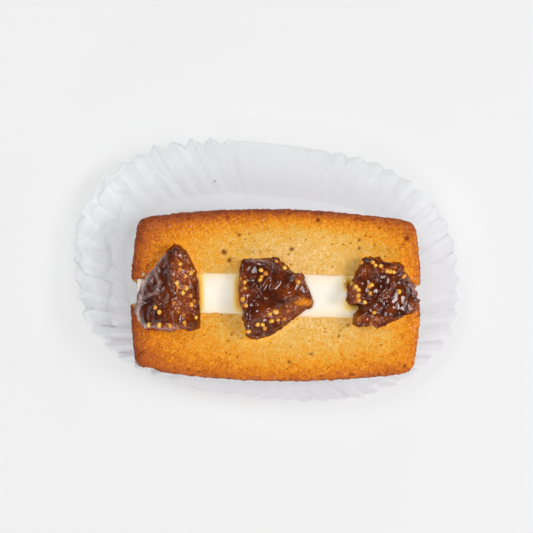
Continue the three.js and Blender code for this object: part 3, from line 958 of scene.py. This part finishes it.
def along_lines(lines, plan):
    """A value that rises to a line's height along it, and fades away from it."""
    heights = np.zeros(len(plan))
    for x0, y0, x1, y1, height, half_width in lines:
        start = np.array([x0, y0])
        run = np.array([x1, y1]) - start
        share = np.clip((plan - start) @ run / (run @ run), 0, 1)
        away = np.linalg.norm(plan - start - share[:, None] * run, axis=1)
        heights += height * np.exp(-(away / half_width) ** 2)
    return heights


def dents_at(dents, plan):
    """Depth of round dents at each point."""
    depths = np.zeros(len(plan))
    for x, y, depth, radius in dents:
        away = np.hypot(plan[:, 0] - x, plan[:, 1] - y) / radius
        depths += depth * np.exp(-away ** 2)
    return depths


def inside_ovals(ovals, plan):
    """1 in the middle of an oval, and 0 well outside all of them."""
    inside = np.zeros(len(plan))
    for x, y, half_x, half_y in ovals:
        away = ((plan[:, 0] - x) / half_x) ** 2 + ((plan[:, 1] - y) / half_y) ** 2
        inside = np.maximum(inside, np.exp(-0.7 * away ** 2))
    return inside


def fig_relief(fig, seed, points, facing_up, flesh, wrinkles):
    """How far a fig stands out of its smooth form: lumps, creases, folds, wrinkles, torn sides and pulp."""
    plan = points[:, :2] - fig["at"]
    relief = layered_noise(points, FIG_LUMPS, seed)
    relief -= layered_ridges(points, FIG_CREASES, seed)
    relief += facing_up * along_lines(fig["folds"], plan)
    relief += FIG_WRINKLE_HEIGHT * (1 - flesh) * (wrinkles - FIG_WRINKLE_MEAN)
    torn = fig["ragged"] * layered_noise(points, FIG_TEARS, seed)
    relief += (1 - facing_up) * (torn - dents_at(fig["dents"], plan))
    relief += flesh * layered_noise(points, FIG_PULP, seed)
    return relief


def make_fig(name, fig):
    piece, points, normals = even_piece(name + "_fruit", lobes_mesh(name, fig), *FIG_FACES)
    plan = points[:, :2] - fig["at"]
    seed = FIG_NOISE_SEED + FIG_NOISE_STEP * list(FIGS).index(name)
    upper = smoothstep(points[:, 2] - cake_top(points), 0.2, 2.0)
    facing_up = smoothstep(normals[:, 2], 0.2, 0.6)
    flesh = inside_ovals(fig["flesh"], plan)
    wrinkles = layered_ridges(points, FIG_WRINKLES, seed)
    relief = fig_relief(fig, seed, points, facing_up, flesh, wrinkles)
    relief *= FIG_RELIEF_BELOW + (1 - FIG_RELIEF_BELOW) * upper
    points += normals * relief[:, None]
    points[:, 2] = np.maximum(points[:, 2], cake_top(points) + FIG_CLEARANCE)
    set_points(piece.data, points)
    # Thin skin is painted red like the flesh, for the light that shines through it
    red = np.maximum(flesh, GLOW_STRENGTH * inside_ovals(fig["glow"], plan))
    # Thin amber edges, painted bright for the light that shines through them
    amber = inside_ovals(fig["amber"], plan) * (0.3 + 0.7 * facing_up)
    # Pale lines, partly sugar bloom and partly painted sheen, strongest on the wrinkles' crests where the
    # glaze gleams
    bloom = along_lines(fig["bloom"], plan) * (0.5 + 0.5 * smoothstep(wrinkles, 0.35, 0.75))
    bloom = np.clip(bloom, 0, 1)
    set_attributes(piece.data, side=1 - facing_up * upper, flesh=red, amber=amber, bloom=bloom)
    return piece


def fig_material():
    nodes = material_nodes("glazed_fig")
    patches = nodes.noise(3, 3)
    fine = nodes.noise(0.6, 3)
    skin = nodes.ramp(patches, [(0.3, (54, 18, 8)), (0.5, (80, 29, 11)), (0.7, (110, 46, 16))])
    flesh = nodes.ramp(fine, [(0.3, (84, 30, 10)), (0.5, (122, 50, 15)), (0.7, (172, 88, 25))])
    # The flesh tone also paints the red light that shines through thin skin
    tone = nodes.mix(nodes.attribute("flesh"), skin, flesh)
    # Painted light: the steep sides are painted a lighter red, for light shining through the thin sides
    side = nodes.math("MULTIPLY", nodes.attribute("side"), nodes.spread(patches, 0.35, 0.85))
    tone = nodes.mix(side, tone, linear((146, 58, 16)))
    # Pale lilac lines: partly sugar bloom, partly painted sheen
    bloom = nodes.math("MULTIPLY", nodes.attribute("bloom"), nodes.map(fine, 0.35, 0.65, 0.5, 0.95))
    tone = nodes.mix(bloom, tone, linear((230, 202, 194)))
    # Painted light shining through the thin amber edges
    amber = nodes.math("MULTIPLY", nodes.attribute("amber"), nodes.map(fine, 0.35, 0.65, 0.5, 1))
    tone = nodes.mix(amber, tone, linear((240, 146, 22)))
    return nodes.surface(
        Base_Color=tone,
        Roughness=nodes.spread(fine, 0.3, 0.5),
        Specular_IOR_Level=0.0,
        Subsurface_Weight=0.25, Subsurface_Radius=(1, 0.3, 0.1), Subsurface_Scale=1.2 * MM,
        Coat_Weight=nodes.map(nodes.attribute("side"), 0, 1, 1, 0.35),
        Coat_Roughness=0.05,
        Normal=nodes.bump(fine, 0.05, 0.25),
    )


# The seeds

def open_seed_plan(fig):
    """Where seeds lie in plan along a fig's rows."""
    plan = []
    for *ends, count in fig["seed_rows"]:
        start, end = np.reshape(ends, (2, 2))
        for i, share in enumerate(np.linspace(0, 1, count)):
            stray = SEED_STRAY * math.sin(SEED_STRAY_TURN * i + start[0])
            plan.append(fig["at"] + start + (end - start) * share + stray)
    return plan


def sunk_seed_plan(fig, draw):
    """Where small seeds lie in plan in a fig's flesh, drawn at random."""
    plan = []
    for x, y, half_x, half_y in fig["flesh"]:
        for _ in range(round(SUNK_SEEDS_PER_MM2 * math.pi * half_x * half_y)):
            reach = math.sqrt(draw.random())
            around = draw.uniform(0, 2 * math.pi)
            offset = (half_x * reach * math.cos(around), half_y * reach * math.sin(around))
            plan.append(np.add(fig["at"], (x, y)) + offset)
    return plan


def make_seeds(pieces):
    draw = random.Random(RANDOM_SEEDS["fig_seeds"])
    seeds = bmesh.new()
    tints = []

    def add_seed(place, normal, kind):
        radius = SEED_RADIUS * draw.uniform(*kind["sizes"])
        tint = draw.uniform(*kind["tints"])
        stretch = Vector((draw.uniform(*SEED_LENGTHS), draw.uniform(*SEED_WIDTHS), SEED_FLATNESS))
        turn = normal.to_track_quat("Z", "Y")
        for point in add_ball(seeds, radius):
            point.co = place + normal * kind["lift"] + turn @ (point.co * stretch)
            tints.append(tint)

    for name, fig in FIGS.items():
        tree = surface_tree(pieces[name])
        for place, normal in landings(tree, open_seed_plan(fig)):
            add_seed(place, normal, OPEN_SEEDS)
        for place, normal in landings(tree, sunk_seed_plan(fig, draw)):
            add_seed(place, normal, SUNK_SEEDS)
    return tinted_object("fig_seeds", seeds, tints)


def seed_material():
    nodes = material_nodes("golden_seed")
    tint = nodes.math("ADD", nodes.attribute("tint"), nodes.spread(nodes.noise(0.5), -0.15, 0.15))
    tone = nodes.ramp(tint, [
        (0.0, (140, 60, 14)), (0.3, (190, 106, 20)), (0.65, (230, 160, 38)), (1.0, (244, 192, 68)),
    ])
    return nodes.surface(
        Base_Color=tone,
        Roughness=0.3,
        Subsurface_Weight=0.3, Subsurface_Radius=(1, 0.6, 0.2), Subsurface_Scale=0.4 * MM,
        Coat_Weight=0.5, Coat_Roughness=0.1,
    )


# Crumbs

def make_crumbs(grounds):
    trees = [surface_tree(ground) for ground in grounds]
    crumbs = bmesh.new()
    tints = []
    for x, y, radius, paleness in CRUMBS:
        centre = Vector((x, y, ground_height(trees, x, y) + CRUMB_CENTRE * radius))
        for point in add_ball(crumbs, radius):
            bump = noise.noise(point.co / radius * CRUMB_BUMPS + centre)
            point.co = centre + point.co * (1 + CRUMB_ROUGHNESS * bump)
            tints.append(paleness)
    return tinted_object("crumbs", crumbs, tints)


def crumb_material():
    nodes = material_nodes("loose_crumb")
    tint = nodes.math("ADD", nodes.attribute("tint"), nodes.spread(nodes.noise(0.3), -0.1, 0.1))
    tone = nodes.ramp(tint, [(0.0, (52, 28, 16)), (0.5, (150, 96, 44)), (1.0, (214, 190, 160))])
    return nodes.surface(Base_Color=tone, Roughness=0.6, Specular_IOR_Level=0.3)


# The stage

def floor_material():
    nodes = material_nodes("pale_floor")
    half_x, half_y = [half * MM for half in RIM["half"]]
    centre = [RIM["centre"][0] * MM, RIM["centre"][1] * MM, 0]
    offset = nodes.add("VectorMath", {0: nodes.place, 1: centre}, operation="SUBTRACT")[0]
    shares = nodes.add("VectorMath", {0: offset, 1: (1 / half_x, 1 / half_y, 0)}, operation="MULTIPLY")[0]
    rim_share = nodes.add("VectorMath", {0: shares}, operation="LENGTH")["Value"]
    along = nodes.add("SeparateXYZ", {0: nodes.place})["X"]
    # Painted shade under the case's west end and painted light under its east end, seen through the paper
    under = nodes.map(along, -half_x, half_x, *FLOOR_GLOW_UNDER)
    return nodes.surface(
        Base_Color=linear(FLOOR_TONE),
        Roughness=0.7,
        Emission_Color=(1, 1, 1, 1),
        Emission_Strength=nodes.map(rim_share, *FLOOR_GLOW_FADE, under, FLOOR_GLOW),
    )


def make_floor():
    signs = [(-1, -1), (1, -1), (1, 1), (-1, 1)]
    corners = [(sign_x * FLOOR_HALF, sign_y * FLOOR_HALF, FLOOR_Z) for sign_x, sign_y in signs]
    floor = add_object("floor", mesh_from("floor", corners, [(0, 1, 2, 3)]))
    floor.data.materials.append(floor_material())


def make_light(name, azimuth, elevation, width, power):
    """A round softbox that faces the cake, seen from there at an azimuth and an elevation."""
    lamp = bpy.data.lights.new(name, "AREA")
    lamp.shape = "DISK"
    lamp.size = width * MM
    lamp.energy = power
    light = add_object(name, lamp)
    toward = Vector(direction(azimuth, elevation))
    light.location = toward * SOFTBOX_DISTANCE * MM
    light.rotation_euler = toward.to_track_quat("Z", "Y").to_euler()
    return light


def make_tent():
    """White walls all round that darken towards an opening overhead, where the camera looks in."""
    nodes = Nodes(bpy.data.worlds.new("light_tent"))
    height = nodes.add("SeparateXYZ", {0: nodes.coordinates["Generated"]})["Z"]
    strength = nodes.map(height, *TENT_FADE, TENT_WALLS, TENT_OPENING, interpolation_type="SMOOTHSTEP")
    background = nodes.add("Background", {"Strength": strength})[0]
    bpy.context.scene.world = nodes.finish(background, "OutputWorld")


def make_camera():
    lens = bpy.data.cameras.new("camera")
    lens.sensor_width = SENSOR
    lens.lens = LENS
    camera = add_object("camera", lens)
    camera.location = Vector(CAMERA_AT) * MM
    bpy.context.scene.camera = camera


make_camera()
make_floor()
make_tent()
make_light(*FILL).visible_glossy = False
for softbox in SOFTBOXES:
    make_light(*softbox)
bpy.context.scene.view_settings.view_transform = "Standard"

paper_piece = make_paper()
cake_piece = make_cake()
cream_piece = make_cream()
finish_piece(paper_piece, paper_material(), "paper", "paper_case")
finish_piece(cake_piece, cake_material(), "crumb", "cake")
finish_piece(cream_piece, cream_material(), "cream", "cream")
finish_piece(make_syrup([cake_piece, cream_piece]), syrup_material(), "fig")
finish_piece(make_crumbs([paper_piece, cake_piece]), crumb_material(), "crumb")
fig_pieces = {name: make_fig(name, fig) for name, fig in FIGS.items()}
seed_piece = make_seeds(fig_pieces)
fig_look = fig_material()
for name, piece in fig_pieces.items():
    finish_piece(piece, fig_look, "fig", name)
finish_piece(seed_piece, seed_material(), "fig")
